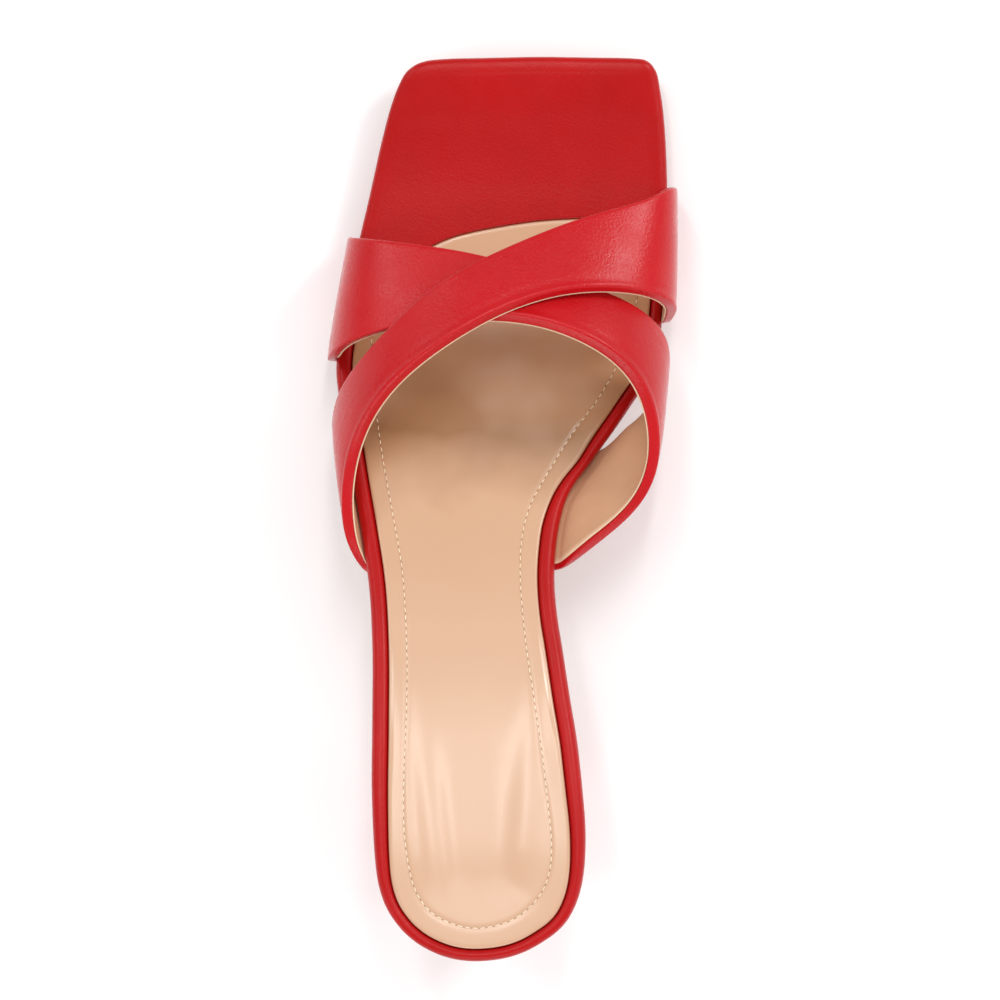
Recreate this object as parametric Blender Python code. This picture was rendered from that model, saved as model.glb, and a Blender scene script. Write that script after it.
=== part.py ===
"""Crossed-strap mule sandal on a block heel, the wearer's left shoe.
+Y runs to the toe, +X to the inner (medial) side of the foot and +Z up."""

import bmesh
import bpy
import numpy as np
from mathutils import Matrix

# Named sizes in metres
MM = 0.001
LENGTH = 0.230
BALL = 0.0865
RISE = 0.054
THROAT = 0.038
FOOTBED = 6.2 * MM
OUTSOLE = 2.8 * MM
SOCK = 1.0 * MM
STRAP = 3.0 * MM
TOP_PIECE = 4.0 * MM
GAP = 0.3 * MM
SOCK_GAP = 0.4 * MM
SEAM = 0.6 * MM
RIM = 4.1 * MM
OUTSOLE_INSET = 2.5 * MM
TOP_SURFACE = OUTSOLE + SEAM + FOOTBED
SOCK_DROP = 0.2 * MM
TREAD_BULGE = 0.3 * MM
TREAD_DRAFT = 0.5 * MM
HEEL_INSET = 0.4 * MM
BREAST_HOLLOW = 1.6 * MM
TOP_CHAMFER = 0.6 * MM
PAST = 2.0 * MM
SHARP_ANGLE = 0.7

# Underside of the outsole: share of LENGTH from the heel, share of RISE
RISE_LINE = [
    (0.00, 1.000), (0.12, 0.925), (0.24, 0.800), (0.36, 0.610), (0.48, 0.375), (0.58, 0.200),
    (0.66, 0.075), (0.73, 0.000), (0.85, 0.000), (0.93, 0.020), (1.00, 0.065),
]

# Footbed outline: share of BALL, share of LENGTH
OUTER_RAIL = [
    (-0.225, 0.028), (-0.272, 0.060), (-0.298, 0.092), (-0.312, 0.140), (-0.317, 0.190),
    (-0.318, 0.250), (-0.322, 0.330), (-0.336, 0.400), (-0.365, 0.463), (-0.395, 0.520),
    (-0.422, 0.575), (-0.446, 0.625), (-0.452, 0.650), (-0.446, 0.680), (-0.427, 0.720),
    (-0.392, 0.785), (-0.356, 0.843), (-0.322, 0.900), (-0.291, 0.944), (-0.262, 0.972),
]
TOE_END = [
    (-0.262, 0.972), (-0.235, 0.987), (-0.190, 0.996), (-0.120, 0.999), (0.000, 1.000),
    (0.160, 1.001), (0.320, 1.000), (0.440, 0.999), (0.485, 0.996), (0.512, 0.984),
]
INNER_RAIL = [
    (0.512, 0.984), (0.523, 0.965), (0.533, 0.940), (0.541, 0.900), (0.545, 0.850),
    (0.543, 0.800), (0.540, 0.750), (0.534, 0.720), (0.524, 0.685), (0.504, 0.655),
    (0.478, 0.629), (0.440, 0.607), (0.392, 0.580), (0.350, 0.558), (0.312, 0.538),
    (0.272, 0.518), (0.243, 0.497), (0.224, 0.468), (0.214, 0.435), (0.213, 0.405),
    (0.222, 0.370), (0.238, 0.335), (0.262, 0.280), (0.285, 0.230), (0.303, 0.170),
    (0.309, 0.125), (0.302, 0.090), (0.287, 0.066), (0.262, 0.043), (0.215, 0.024),
]
HEEL_END = [
    (0.215, 0.024), (0.155, 0.008), (0.080, -0.001), (0.000, -0.004), (-0.085, 0.000),
    (-0.165, 0.010), (-0.225, 0.028),
]

# Front edge of the sock, an arc between the rails: share of BALL, share of LENGTH
SOCK_FRONT = [
    (-0.365, 0.737), (-0.280, 0.765), (-0.171, 0.787), (-0.066, 0.802), (0.124, 0.815),
    (0.275, 0.819), (0.400, 0.819), (0.500, 0.816),
]

# Strap lying on top, from the inner side of the ball to the outer waist. The surface is the
# leather's outer face: toe-side edge x y h, heel-side edge x y h, swell between the edges.
# x is a share of BALL, y of LENGTH, h (above the footbed) and the swell of THROAT.
OVER_STRAP = [
    (0.578, 0.850, 0.237, 0.575, 0.707, 0.237, 0.008),
    (0.571, 0.850, 0.408, 0.574, 0.712, 0.434, 0.008),
    (0.542, 0.843, 0.540, 0.562, 0.719, 0.618, 0.008),
    (0.462, 0.830, 0.637, 0.504, 0.729, 0.776, 0.008),
    (0.364, 0.821, 0.705, 0.399, 0.734, 0.884, 0.005),
    (0.254, 0.808, 0.779, 0.277, 0.733, 0.963, 0.000),
    (0.139, 0.790, 0.847, 0.168, 0.724, 1.016, 0.000),
    (0.017, 0.770, 0.879, 0.064, 0.710, 1.032, 0.000),
    (-0.092, 0.749, 0.874, -0.029, 0.692, 1.021, 0.000),
    (-0.191, 0.723, 0.832, -0.116, 0.673, 0.979, 0.000),
    (-0.286, 0.688, 0.747, -0.201, 0.650, 0.905, 0.005),
    (-0.358, 0.659, 0.611, -0.277, 0.624, 0.789, 0.011),
    (-0.412, 0.635, 0.442, -0.338, 0.595, 0.637, 0.016),
    (-0.441, 0.615, 0.253, -0.388, 0.559, 0.437, 0.024),
    (-0.454, 0.600, 0.105, -0.415, 0.516, 0.268, 0.018),
    (-0.462, 0.585, 0.010, -0.421, 0.462, 0.116, 0.014),
]

# Strap lying below, from the outer side of the ball to the inner waist, same columns
UNDER_STRAP = [
    (-0.413, 0.795, 0.224, -0.470, 0.658, 0.197, 0.008),
    (-0.400, 0.794, 0.395, -0.458, 0.667, 0.368, 0.008),
    (-0.354, 0.792, 0.537, -0.423, 0.679, 0.542, 0.008),
    (-0.273, 0.788, 0.626, -0.347, 0.692, 0.695, 0.005),
    (-0.173, 0.783, 0.695, -0.254, 0.700, 0.805, 0.000),
    (-0.069, 0.777, 0.747, -0.145, 0.704, 0.884, 0.000),
    (0.035, 0.768, 0.789, -0.035, 0.704, 0.932, 0.000),
    (0.150, 0.757, 0.805, 0.081, 0.704, 0.963, 0.000),
    (0.266, 0.744, 0.800, 0.191, 0.698, 0.979, 0.000),
    (0.364, 0.732, 0.768, 0.289, 0.684, 0.958, 0.003),
    (0.446, 0.718, 0.695, 0.375, 0.667, 0.884, 0.008),
    (0.506, 0.703, 0.568, 0.442, 0.646, 0.784, 0.013),
    (0.552, 0.682, 0.389, 0.488, 0.622, 0.679, 0.016),
    (0.560, 0.656, 0.211, 0.517, 0.592, 0.563, 0.016),
    (0.544, 0.625, 0.068, 0.527, 0.558, 0.437, 0.018),
    (0.521, 0.600, -0.037, 0.515, 0.525, 0.321, 0.032),
    (0.482, 0.580, -0.112, 0.476, 0.493, 0.211, 0.048),
    (0.424, 0.566, -0.155, 0.404, 0.467, 0.110, 0.050),
    (0.404, 0.562, -0.163, 0.324, 0.444, 0.010, 0.040),
]

# Strap ends round the footbed's edge, from under the footbed outwards: out from the edge as a
# share of STRAP and above the top surface as a share of FOOTBED at the toe-side edge, the same
# at the heel-side edge, the leather's thickness as a share of STRAP, and how far the heel-side
# edge has moved to the toe as a share of LENGTH.
SIDE_TURN = [
    (-3.000, -1.008, -3.000, -1.008, 0.40, 0.000),
    (-1.500, -1.008, -1.500, -1.008, 0.43, 0.000),
    (-0.533, -1.008, -0.533, -1.008, 0.50, 0.000),
    (0.400, -0.871, 0.333, -0.871, 0.65, 0.000),
    (0.800, -0.419, 0.667, -0.419, 0.72, 0.000),
    (0.867, 0.419, 0.733, 0.419, 0.80, 0.000),
]
WAIST_TURN = [
    (-3.000, -1.008, -3.000, -1.008, 0.40, 0.000),
    (-1.500, -1.008, -1.500, -1.008, 0.43, 0.000),
    (-0.533, -1.008, -0.400, -1.008, 0.53, 0.003),
    (0.433, -0.887, 0.333, -0.887, 0.70, 0.010),
    (1.033, -0.419, 0.967, -0.484, 0.85, 0.024),
]
HAMMOCK_TURN = [
    (-3.000, -1.008, -3.000, -1.008, 0.40, 0.000),
    (-1.500, -1.008, -1.500, -1.008, 0.43, 0.000),
    (-0.533, -1.008, -0.467, -1.008, 0.53, 0.002),
    (0.333, -1.032, 0.633, -0.903, 0.75, 0.005),
    (1.067, -1.032, 1.633, -0.613, 0.92, 0.012),
]
# Where each end meets the footbed's edge: toe side, heel side, as shares of LENGTH
BALL_INNER = (0.850, 0.700)
BALL_OUTER = (0.795, 0.655)
WAIST_OUTER = (0.570, 0.410)
WAIST_INNER = (0.559, 0.416)

# Heel below the seat: share of the way down, width share, toe side and back as shares of LENGTH
HEEL_LEVELS = [
    (0.00, 1.00, 0.245, 0.012),
    (0.15, 0.93, 0.228, 0.017),
    (0.40, 0.83, 0.205, 0.026),
    (0.70, 0.75, 0.190, 0.034),
    (1.00, 0.71, 0.182, 0.040),
]

# Footbed's edge from top to bottom: share of half of FOOTBED inwards, share of FOOTBED up
RIM_BEAD = [
    (1.00, 1.00), (0.42, 0.92), (0.08, 0.72), (0.00, 0.50), (0.29, 0.15), (1.00, 0.00),
]
# Middle of the foot under the straps, from which they swell: shares of BALL and THROAT
SWELL_FROM = (0.06, 0.60)
# How far a strap's edges round out, as a share of its thickness
EDGE_ROUND = 0.16
# Width of the top piece's foot as a share of its top
TOP_FOOT = 0.97

# Steps of the meshes
ACROSS = 6
RAIL_STEPS = 36
END_STEPS = 10
SOCK_STEPS = (30, 10)
HEEL_STEPS = (10, 8)
BREAST_STEPS = 12
CORNER_EASE = 0.55


def smooth_line(table, at):
    """Monotone cubic through the rows of a two-column table."""
    xs, ys = np.array(table, float).T
    step, rise = np.diff(xs), np.diff(ys)
    slope = rise / step
    tangent = np.zeros(len(xs))
    same = slope[1:] * slope[:-1] > 0
    w1, w2 = 2 * step[1:] + step[:-1], step[1:] + 2 * step[:-1]
    inner = np.zeros(len(slope) - 1)
    inner[same] = (w1 + w2)[same] / (w1[same] / slope[:-1][same] + w2[same] / slope[1:][same])
    tangent[1:-1] = inner
    tangent[0], tangent[-1] = slope[0], slope[-1]
    at = np.asarray(at, float)
    k = np.clip(np.searchsorted(xs, at) - 1, 0, len(step) - 1)
    t = np.clip((at - xs[k]) / step[k], 0, 1)
    return (
        (2 * t**3 - 3 * t**2 + 1) * ys[k]
        + (t**3 - 2 * t**2 + t) * step[k] * tangent[k]
        + (3 * t**2 - 2 * t**3) * ys[k + 1]
        + (t**3 - t**2) * step[k] * tangent[k + 1]
    )


def underside(y):
    return RISE * smooth_line(RISE_LINE, y / LENGTH)


def footbed_top(y):
    return underside(y) + TOP_SURFACE


def fair(points, parts):
    """Catmull-Rom rows through the given rows, with this many steps between two of them."""
    p = np.asarray(points, float)
    first, last = 2 * p[:1] - p[1:2], 2 * p[-1:] - p[-2:-1]
    p = np.concatenate([first, p, last])
    rows = []
    for i in range(1, len(p) - 2):
        for t in np.arange(parts) / parts:
            rows.append(
                0.5 * (2 * p[i] + (p[i + 1] - p[i - 1]) * t
                       + (2 * p[i - 1] - 5 * p[i] + 4 * p[i + 1] - p[i + 2]) * t**2
                       + (3 * p[i] - p[i - 1] - 3 * p[i + 1] + p[i + 2]) * t**3)
            )
    rows.append(p[-2])
    return np.array(rows)


def spaced(line, steps, ease=0.0):
    """The polyline's points again, equally far apart, or closer together at its ends."""
    far = np.concatenate([[0], np.cumsum(np.linalg.norm(np.diff(line, axis=0), axis=1))])
    at = np.linspace(0, 1, steps + 1)
    at = (at - ease * np.sin(2 * np.pi * at) / (2 * np.pi)) * far[-1]
    return np.stack([np.interp(at, far, line[:, k]) for k in range(line.shape[1])], axis=1)


def outline_loop():
    """Dense closed outline of the footbed in metres, counted from the heel's outer corner."""
    table = OUTER_RAIL + TOE_END[1:] + INNER_RAIL[1:] + HEEL_END[1:-1]
    around = np.array(table[-2:] + table + table[:2])
    dense = fair(around, 6)[12:-7]
    return dense * (BALL, LENGTH)


def inset(loop, by):
    """The closed loop moved inwards by a distance."""
    ahead, behind = np.roll(loop, -1, axis=0), np.roll(loop, 1, axis=0)
    along = ahead - behind
    along /= np.linalg.norm(along, axis=1)[:, None]
    return loop + by * np.stack([along[:, 1], -along[:, 0]], axis=1)


def ring_of(loop, corners, rail_steps, end_steps):
    """The loop resampled in four sides that start nearest to the corner points."""
    at = [int(np.argmin(np.linalg.norm(loop - c, axis=1))) for c in corners]
    sides = []
    for k, steps in enumerate((rail_steps, end_steps, rail_steps, end_steps)):
        a, b = at[k], at[(k + 1) % 4]
        run = np.arange(a, b + 1 if b > a else b + len(loop) + 1) % len(loop)
        sides.append(spaced(loop[run], steps, CORNER_EASE)[:-1])
    return np.concatenate(sides)


OUTLINE = outline_loop()
CORNERS = [
    np.array(row) * (BALL, LENGTH)
    for row in (OUTER_RAIL[0], TOE_END[0], INNER_RAIL[0], HEEL_END[0])
]


def edge_at(side, y):
    """Point and outward direction on the footbed's edge at this distance from the heel."""
    count = len(OUTLINE)
    ahead = np.roll(OUTLINE, -1, axis=0)
    for i in range(count):
        a, b = OUTLINE[i], ahead[i]
        if a[0] * side > 0 and (a[1] - y) * (b[1] - y) <= 0 and a[1] != b[1]:
            t = (y - a[1]) / (b[1] - a[1])
            along = (b - a) / np.linalg.norm(b - a)
            return a + (b - a) * t, np.array([-along[1], along[0]])
    raise ValueError(y)


def capped_loft(name, rings, steps, cap_heights, material):
    """A solid skinned over closed rings of equal count, its two ends filled by grids that
    take their heights from a function of x and y."""
    mesh = bmesh.new()
    rows = [[mesh.verts.new(p) for p in ring] for ring in rings]
    count = len(rows[0])
    for low, high in zip(rows, rows[1:]):
        for i in range(count):
            j = (i + 1) % count
            mesh.faces.new((low[i], low[j], high[j], high[i]))
    for ring, height in ((rows[0], cap_heights[0]), (rows[-1], cap_heights[1])):
        fill_grid(mesh, ring, steps, height)
    bmesh.ops.recalc_face_normals(mesh, faces=mesh.faces)
    return new_object(name, mesh, material)


def fill_grid(mesh, ring, steps, height):
    """Coons grid inside a ring of four sides."""
    long, short = steps
    at = np.array([v.co[:] for v in ring])
    left = list(range(0, long + 1))
    right = [(2 * long + short - i) for i in range(0, long + 1)]
    far = list(range(long, long + short + 1))
    near = [(2 * long + 2 * short - i) % len(ring) for i in range(0, short + 1)]
    grid = {}
    for i in range(long + 1):
        for j in range(short + 1):
            if i == 0:
                grid[i, j] = ring[near[j]]
            elif i == long:
                grid[i, j] = ring[far[j]]
            elif j == 0:
                grid[i, j] = ring[left[i]]
            elif j == short:
                grid[i, j] = ring[right[i]]
            else:
                u, v = i / long, j / short
                p = (1 - v) * at[left[i]] + v * at[right[i]]
                p = p + (1 - u) * at[near[j]] + u * at[far[j]]
                p = p - (1 - u) * ((1 - v) * at[near[0]] + v * at[near[-1]])
                p = p - u * ((1 - v) * at[far[0]] + v * at[far[-1]])
                grid[i, j] = mesh.verts.new((p[0], p[1], height(p[1])))
    for i in range(long):
        for j in range(short):
            mesh.faces.new((grid[i, j], grid[i + 1, j], grid[i + 1, j + 1], grid[i, j + 1]))


def new_object(name, mesh, material):
    data = bpy.data.meshes.new(name)
    mesh.to_mesh(data)
    mesh.free()
    body = bpy.data.objects.new(name, data)
    if material is None:
        cutters.objects.link(body)
        body.hide_render = True
        body.display_type = "WIRE"
    else:
        shoe.objects.link(body)
        data.materials.append(material)
    return body


def plate(name, loop_insets, material, corners=CORNERS, steps=(RAIL_STEPS, END_STEPS), loop=None):
    """A flat-lying board: rings given as an inset and a height above the underside line."""
    rings = []
    for by, high in loop_insets:
        flat = ring_of(inset(OUTLINE if loop is None else loop, by), corners, *steps)
        rings.append(np.column_stack([flat, underside(flat[:, 1]) + high]))
    heights = [lambda y, up=high: float(underside(y)) + up for _, high in (loop_insets[0], loop_insets[-1])]
    return capped_loft(name, rings, steps, heights, material)


def sock_loop(margin):
    """Inset outline behind the arc of the sock's front edge."""
    arc = fair(np.array(SOCK_FRONT), 8) * (BALL, LENGTH) + (0, margin)
    body = inset(OUTLINE, RIM - margin)
    kept = body[body[:, 1] < np.interp(body[:, 0], arc[:, 0], arc[:, 1])]
    turn = int(np.argmax(np.linalg.norm(kept - np.roll(kept, 1, axis=0), axis=1)))
    kept = np.roll(kept, -turn, axis=0)
    left, right = kept[-1], kept[0]
    inside = arc[(arc[:, 0] > left[0] + MM) & (arc[:, 0] < right[0] - MM)]
    return np.concatenate([kept, inside]), left, right


def strap_grid(table, turns, ends):
    """Outer face of a strap as rows of points from its first end to its last, and the
    thickness along it. The ends follow the footbed's edge."""
    rows, thick = [], []
    across = np.linspace(0, 1, ACROSS + 1)
    for turn, (side, (toe, heel)) in ((turns[0], ends[0]), (None, (0, (0, 0))), (turns[1], ends[1])):
        if turn is None:
            for fx, fy, fh, bx, by, bh, swell in table:
                toe_edge = np.array([fx * BALL, fy * LENGTH, footbed_top(fy * LENGTH) + fh * THROAT])
                heel_edge = np.array([bx * BALL, by * LENGTH, footbed_top(by * LENGTH) + bh * THROAT])
                row = toe_edge + (heel_edge - toe_edge) * across[:, None]
                middle = SWELL_FROM[0] * BALL
                out = np.array([row[:, 0].mean() - middle, 0.0, SWELL_FROM[1] * THROAT])
                out = out / np.linalg.norm(out)
                row += out * (4 * across * (1 - across) * swell * THROAT)[:, None]
                rows.append(row)
                thick.append(1.0)
            continue
        part, part_thick = [], []
        for out_toe, h_toe, out_heel, h_heel, share, moved in turn:
            row = []
            for t in across:
                point, away = edge_at(side, (toe + (heel + moved - toe) * t) * LENGTH)
                flat = point + away * (out_toe + (out_heel - out_toe) * t) * STRAP
                high = footbed_top(flat[1]) + (h_toe + (h_heel - h_toe) * t) * FOOTBED
                row.append((flat[0], flat[1], high))
            part.append(np.array(row))
            part_thick.append(share)
        first = not rows
        rows += part if first else part[::-1]
        thick += part_thick if first else part_thick[::-1]
    grid = fair(np.array(rows).reshape(len(rows), -1), 2).reshape(-1, ACROSS + 1, 3)
    return grid, fair(np.array(thick)[:, None], 2)[:, 0] * STRAP


def strap_solid(name, table, turns, ends, grow, material):
    """The strap as a closed skin: outer face, rounded edges and lining face."""
    grid, thick = strap_grid(table, turns, ends)
    along, over = np.gradient(grid, axis=0), np.gradient(grid, axis=1)
    facing = np.cross(over, along)
    facing /= np.linalg.norm(facing, axis=2)[:, :, None]
    if facing[len(grid) // 2, ACROSS // 2, 2] < 0:
        facing = -facing
    edgeways = over / np.linalg.norm(over, axis=2)[:, :, None]
    grid = grid + facing * (grow * 2)
    grid[0] += (grid[0] - grid[1]) * (grow / MM)
    grid[-1] += (grid[-1] - grid[-2]) * (grow / MM)
    grid[:, 0] -= edgeways[:, 0] * grow
    grid[:, -1] += edgeways[:, -1] * grow
    wall = thick[:, None, None] + grow * 3
    lining = grid - facing * wall
    rings = []
    for k in range(len(grid)):
        round_out = EDGE_ROUND * wall[k, 0, 0]
        toe_side = (grid[k, 0] + lining[k, 0]) / 2 - edgeways[k, 0] * round_out
        heel_side = (grid[k, -1] + lining[k, -1]) / 2 + edgeways[k, -1] * round_out
        rings.append(np.concatenate([grid[k], heel_side[None], lining[k][::-1], toe_side[None]]))
    mesh = bmesh.new()
    rows = [[mesh.verts.new(p) for p in ring] for ring in rings]
    count = len(rows[0])
    for low, high in zip(rows, rows[1:]):
        for i in range(count):
            j = (i + 1) % count
            mesh.faces.new((low[i], low[j], high[j], high[i]))
    for ring in (rows[0], rows[-1]):
        mesh.faces.new(ring[: ACROSS + 1] + ring[ACROSS + 2 : 2 * ACROSS + 3])
        mesh.faces.new((ring[ACROSS], ring[ACROSS + 1], ring[ACROSS + 2]))
        mesh.faces.new((ring[2 * ACROSS + 2], ring[2 * ACROSS + 3], ring[0]))
    bmesh.ops.recalc_face_normals(mesh, faces=mesh.faces)
    bmesh.ops.triangulate(mesh, faces=mesh.faces)
    return new_object(name, mesh, material)


def material_of(name, colour, roughness, coat):
    made = bpy.data.materials.new(name)
    made.use_nodes = True
    shader = made.node_tree.nodes["Principled BSDF"]
    shader.inputs["Base Color"].default_value = (*colour, 1)
    shader.inputs["Roughness"].default_value = roughness
    shader.inputs["Coat Weight"].default_value = coat
    made.diffuse_color = (*colour, 1)
    return made


def boolean(body, other, operation, folded=False):
    """Cuts or joins now, so that the body keeps one plain mesh."""
    step = body.modifiers.new(operation.lower(), "BOOLEAN")
    step.operation = operation
    step.object = other
    step.solver = "EXACT"
    step.use_self = folded
    bpy.context.view_layer.objects.active = body
    bpy.ops.object.modifier_apply(modifier=step.name)


# Clear the scene
for old in list(bpy.data.objects):
    bpy.data.objects.remove(old)
shoe = bpy.data.collections.new("mule_sandal")
cutters = bpy.data.collections.new("cutters")
bpy.context.scene.collection.children.link(shoe)
bpy.context.scene.collection.children.link(cutters)

red_straps = material_of("strap_leather", (0.55, 0.03, 0.04), 0.38, 0.1)
red_board = material_of("footbed_leather", (0.50, 0.02, 0.03), 0.35, 0.1)
red_heel = material_of("heel_leather", (0.50, 0.02, 0.03), 0.35, 0.1)
tan_sock = material_of("sock_leather", (0.62, 0.40, 0.24), 0.45, 0.0)
sole_rubber = material_of("outsole_rubber", (0.35, 0.20, 0.11), 0.6, 0.0)
piece_rubber = material_of("top_piece_rubber", (0.05, 0.04, 0.04), 0.7, 0.0)

# Footbed: a wrapped board with a rounded rim
base = OUTSOLE + SEAM
bead = [(inwards * FOOTBED / 2, base + up * FOOTBED) for inwards, up in RIM_BEAD]
footbed = plate("footbed", bead, red_board)


# Sock: a thin lining lying in a shallow recess of the footbed
def sock_plate(name, margin, low, high, material):
    loop, left, right = sock_loop(margin)
    corners = [CORNERS[0], left, right, CORNERS[3]]
    return plate(name, [(0.0, high), (0.0, low)], material, corners, SOCK_STEPS, loop)


sock_low = TOP_SURFACE - SOCK - SOCK_DROP
sock = sock_plate("sock", 0.0, sock_low, sock_low + SOCK, tan_sock)
recess = sock_plate("sock_recess", SOCK_GAP, sock_low - GAP, TOP_SURFACE + PAST, None)
boolean(footbed, recess, "DIFFERENCE")

# Outsole: full length, flat on the floor under the ball
outsole = plate("outsole", [
    (OUTSOLE_INSET, OUTSOLE), (OUTSOLE_INSET - TREAD_BULGE, OUTSOLE / 2),
    (OUTSOLE_INSET + TREAD_DRAFT, 0.0),
], sole_rubber)

# Heel and its top piece: the seat's outline drawn in towards the floor
seat = inset(OUTLINE, OUTSOLE_INSET + HEEL_INSET)
seat = seat[seat[:, 1] < HEEL_LEVELS[0][2] * LENGTH]
turn = int(np.argmax(np.linalg.norm(seat - np.roll(seat, 1, axis=0), axis=1)))
seat = np.roll(seat, -turn, axis=0)
breast = spaced(np.array([seat[-1], seat[0]]), BREAST_STEPS)
breast[:, 1] -= BREAST_HOLLOW * np.sin(np.linspace(0, np.pi, BREAST_STEPS + 1))
seat = np.concatenate([seat, breast[1:-1]])
seat_corners = [CORNERS[0], breast[0], breast[-1], CORNERS[3]]
seat_ring = ring_of(seat, seat_corners, *HEEL_STEPS)
seat_back, seat_toe = seat_ring[:, 1].min(), seat_ring[:, 1].max()
HEEL_FOOT = TOP_PIECE + GAP


def heel_ring(down, width, toe, back):
    y_share = (seat_ring[:, 1] - seat_back) / (seat_toe - seat_back)
    flat_x = seat_ring[:, 0] * width
    flat_y = (back + (toe - back) * y_share) * LENGTH
    top = underside(flat_y) - GAP
    return np.column_stack([flat_x, flat_y, top + (HEEL_FOOT - top) * down])


heel_rings = [heel_ring(*level) for level in fair(HEEL_LEVELS, 2)]
heel_caps = [lambda y: float(underside(y)) - GAP, lambda y: HEEL_FOOT]
heel = capped_loft("heel", heel_rings, HEEL_STEPS, heel_caps, red_heel)

tip = heel_rings[-1][:, :2]
middle = tip.mean(axis=0)
tip_rings = [
    np.column_stack([middle + (tip - middle) * wide, np.full(len(tip), high)])
    for wide, high in ((1.0, TOP_PIECE), (1.0, TOP_CHAMFER), (TOP_FOOT, 0.0))
]
top_piece = capped_loft(
    "top_piece", tip_rings, HEEL_STEPS, [lambda y: TOP_PIECE, lambda y: 0.0], piece_rubber
)

# Upper: two straps joined where they cross, ends let into the footbed's underside
OVER = (OVER_STRAP, (SIDE_TURN, WAIST_TURN), ((1, BALL_INNER), (-1, WAIST_OUTER)))
UNDER = (UNDER_STRAP, (SIDE_TURN, HAMMOCK_TURN), ((-1, BALL_OUTER), (1, WAIST_INNER)))
upper = strap_solid("upper", *OVER, 0.0, red_straps)
under = strap_solid("under_strap", *UNDER, 0.0, None)
for name, strap in (("over_pocket", OVER), ("under_pocket", UNDER)):
    pocket = strap_solid(name, *strap, GAP, None)
    boolean(footbed, pocket, "DIFFERENCE", folded=True)
boolean(upper, under, "UNION")

# Origin at the middle of the bounding box, on the floor
nodes = [footbed, sock, outsole, heel, top_piece, upper]
corners_all = np.array([v.co[:] for body in nodes for v in body.data.vertices])
low_corner, high_corner = corners_all.min(axis=0), corners_all.max(axis=0)
shift = -(low_corner + high_corner) / 2
shift[2] = -low_corner[2]
for body in list(shoe.objects) + list(cutters.objects):
    body.data.transform(Matrix.Translation(shift))
for body in nodes:
    body.data.shade_smooth()
    body.data.set_sharp_from_angle(angle=SHARP_ANGLE)
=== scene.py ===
# %% [markdown]
# # A crossed-strap mule sandal
# A mule is a shoe with no back: a sole, a heel and an upper that holds only the forefoot. Here the
# upper is two padded leather straps that cross over the instep. This lesson dresses the plain
# solids of such a shoe with leather, lining, stitching and rubber. The solids stay in the frame
# as they are, and each dressed piece takes the place of one of them.

# %% Load the frame
import bmesh
import bpy
import numpy as np
from mathutils import Matrix, Vector


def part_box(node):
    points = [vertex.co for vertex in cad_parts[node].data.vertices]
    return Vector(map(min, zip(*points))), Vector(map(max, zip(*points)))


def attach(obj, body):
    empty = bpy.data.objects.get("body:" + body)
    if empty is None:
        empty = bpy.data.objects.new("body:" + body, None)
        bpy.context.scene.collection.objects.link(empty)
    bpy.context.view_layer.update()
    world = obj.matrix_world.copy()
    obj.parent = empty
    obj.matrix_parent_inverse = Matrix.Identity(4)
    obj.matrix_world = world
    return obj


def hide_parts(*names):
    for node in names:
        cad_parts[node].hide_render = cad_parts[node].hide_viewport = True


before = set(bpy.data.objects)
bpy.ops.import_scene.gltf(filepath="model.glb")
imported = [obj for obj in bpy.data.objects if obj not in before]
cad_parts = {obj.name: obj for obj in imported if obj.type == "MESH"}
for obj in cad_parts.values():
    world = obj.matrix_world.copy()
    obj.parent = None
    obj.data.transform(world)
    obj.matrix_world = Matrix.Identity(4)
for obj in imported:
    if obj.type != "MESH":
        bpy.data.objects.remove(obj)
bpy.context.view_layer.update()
print("solids:", sorted(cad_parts))

# %% [markdown]
# ## The shoe's own sizes
# A shoemaker measures along the foot from the heel and across it from a centre line. The tables
# below hold shares of the length, the ball's width, the heel's rise and the straps' height, so a
# row says where on the foot it lies. The frame's origin is the middle of the shoe's box, so the
# centre line and the heel lie at a fixed place in it.

# %% Named sizes in metres
MM = 0.001
LENGTH = 0.230
BALL = 0.0865
RISE = 0.054
THROAT = 0.038
FOOTBED = 6.2 * MM
OUTSOLE = 2.8 * MM
STRAP = 3.0 * MM
TOP_PIECE = 4.0 * MM
GAP = 0.3 * MM
SEAM = 0.6 * MM
RIM = 4.1 * MM
OUTSOLE_INSET = 2.5 * MM
TOP_SURFACE = OUTSOLE + SEAM + FOOTBED

# %% Tables of the sole
# Underside of the outsole: share of LENGTH from the heel, share of RISE
RISE_LINE = [
    (0.00, 1.000), (0.12, 0.925), (0.24, 0.800), (0.36, 0.610), (0.48, 0.375), (0.58, 0.200),
    (0.66, 0.075), (0.73, 0.000), (0.85, 0.000), (0.93, 0.020), (1.00, 0.065),
]
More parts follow.
